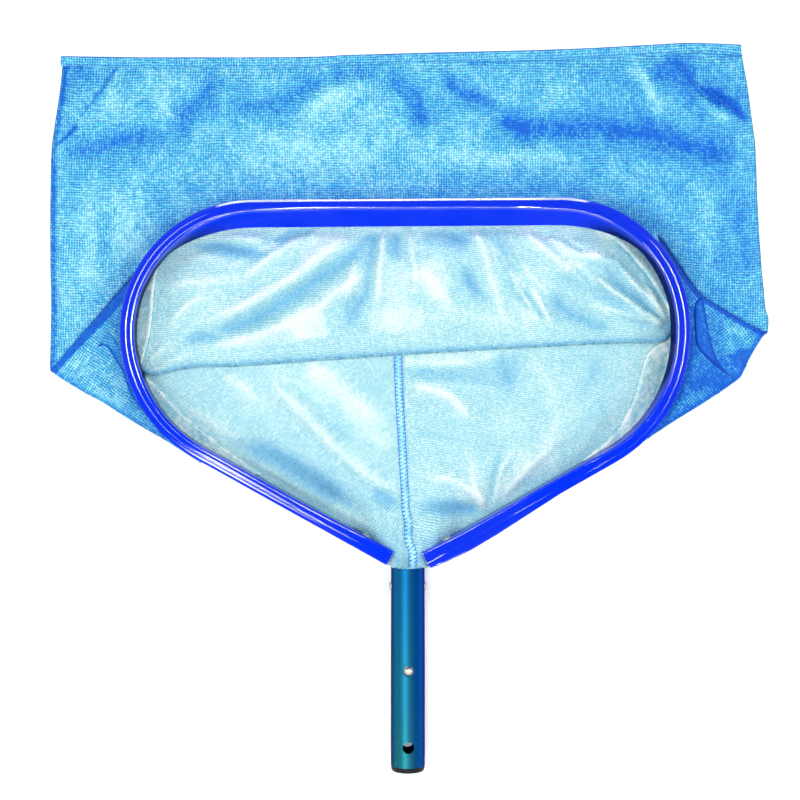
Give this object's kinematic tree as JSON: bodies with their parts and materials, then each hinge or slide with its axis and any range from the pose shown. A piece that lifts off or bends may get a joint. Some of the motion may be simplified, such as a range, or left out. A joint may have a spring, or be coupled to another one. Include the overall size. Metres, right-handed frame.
{
  "type": "leaf skimmer net",
  "caption": "Pool leaf skimmer with a scoop-lipped hoop, a deep mesh bag laid out flat and a short tube handle that locks into a pole.",
  "frame": {"origin": "centre of the handle tube's open end, on the tube's axis", "axes": "+Y along the handle from its open end to the hoop and on over the bag, +Z out of the mouth of the bag, +X to the right seen from above with the handle towards the viewer"},
  "size_m": [0.602, 0.6106, 0.0333],
  "materials": {
    "tube_blue": "satin blue anodised",
    "plug_black": "moulded, fine texture",
    "insert_grey": "moulded",
    "rivet_alu": "pressed, slightly dulled",
    "spring_steel": "rolled strip",
    "button_nickel": "nickel plated",
    "bar_alu": "mill finish",
    "lip_blue": "glossy extruded",
    "binding_blue": "woven tape",
    "mesh_blue": "open plain weave",
    "mesh_pale": "open plain weave, seen against the light",
    "hem_blue": "folded mesh",
    "thread_blue": "sewing thread"
  },
  "bodies": {
    "skimmer": {"handle_tube": "tube_blue", "end_plug": "plug_black", "throat_insert": "insert_grey", "tube_rivets": "rivet_alu", "snap_spring_base": "spring_steel", "hoop_bar": "bar_alu", "lip_strip": "lip_blue", "lip_rivets": "rivet_alu", "mouth_binding": "binding_blue", "net_back_left": "mesh_pale", "net_back_right": "mesh_pale", "net_front_layer": "mesh_blue", "net_inner_fold": "mesh_pale", "net_gusset_left": "mesh_blue", "net_gusset_right": "mesh_blue", "centre_seam": "thread_blue", "bottom_hem": "hem_blue", "hem_stitching": "thread_blue", "corner_stitching": "thread_blue"},
    "button_leaf": {"snap_spring_leaf": "spring_steel", "snap_button": "button_nickel"}
  },
  "joints": [
    {"name": "button_press", "type": "hinge", "parent": "skimmer", "child": "button_leaf", "pos_m": [0, 0.1231, 0.00345], "axis": [1, 0, 0], "range_deg": [0, 5], "stiffness_Nm_per_rad": 3}
  ]
}
